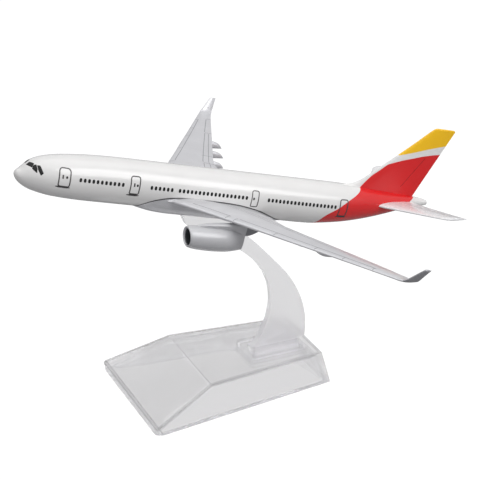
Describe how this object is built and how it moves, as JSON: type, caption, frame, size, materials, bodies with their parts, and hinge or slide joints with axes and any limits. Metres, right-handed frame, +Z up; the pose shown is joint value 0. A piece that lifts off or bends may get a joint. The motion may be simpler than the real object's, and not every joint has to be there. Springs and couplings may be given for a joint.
{
  "type": "desk airliner model on stand",
  "caption": "Desk model of a twin-engined airliner with swept wings and upturned winglets, held nose-up on a clear crescent arm that plugs into a clear wedge-shaped base.",
  "frame": {"origin": "on the floor, below the centre of the model's bounding box", "axes": "-X towards the nose, -Y towards the aircraft's left (port) wing tip, +Z up"},
  "size_m": [0.1624, 0.1648, 0.0963],
  "materials": {
    "clear_plastic": "gloss",
    "white_paint": "gloss",
    "red_paint": "gloss",
    "silver_paint": "satin",
    "pale_grey_paint": "satin",
    "dark_grey_paint": "satin",
    "dark_plastic": "matte",
    "screw_steel": "satin"
  },
  "bodies": {
    "base": {"base_shell": "clear_plastic"},
    "arm": {"stand_arm": "clear_plastic"},
    "aircraft": {"fuselage_shell": "white_paint", "vertical_fin": "red_paint", "wing_casting": "silver_paint", "left_stabiliser": "pale_grey_paint", "right_stabiliser": "pale_grey_paint", "left_pylon": "dark_grey_paint", "right_pylon": "dark_grey_paint", "left_nacelle": "silver_paint", "right_nacelle": "silver_paint", "left_fan": "dark_plastic", "right_fan": "dark_plastic", "belly_screw_front": "screw_steel", "belly_screw_rear": "screw_steel"}
  },
  "joints": [
    {"name": "arm_lift", "type": "slide", "parent": "base", "child": "arm", "axis": [0, 0, 1], "range_m": [0, 0.008]},
    {"name": "aircraft_lift", "type": "slide", "parent": "arm", "child": "aircraft", "axis": [0.2773, 0, 0.9608], "range_m": [0, 0.006]}
  ]
}
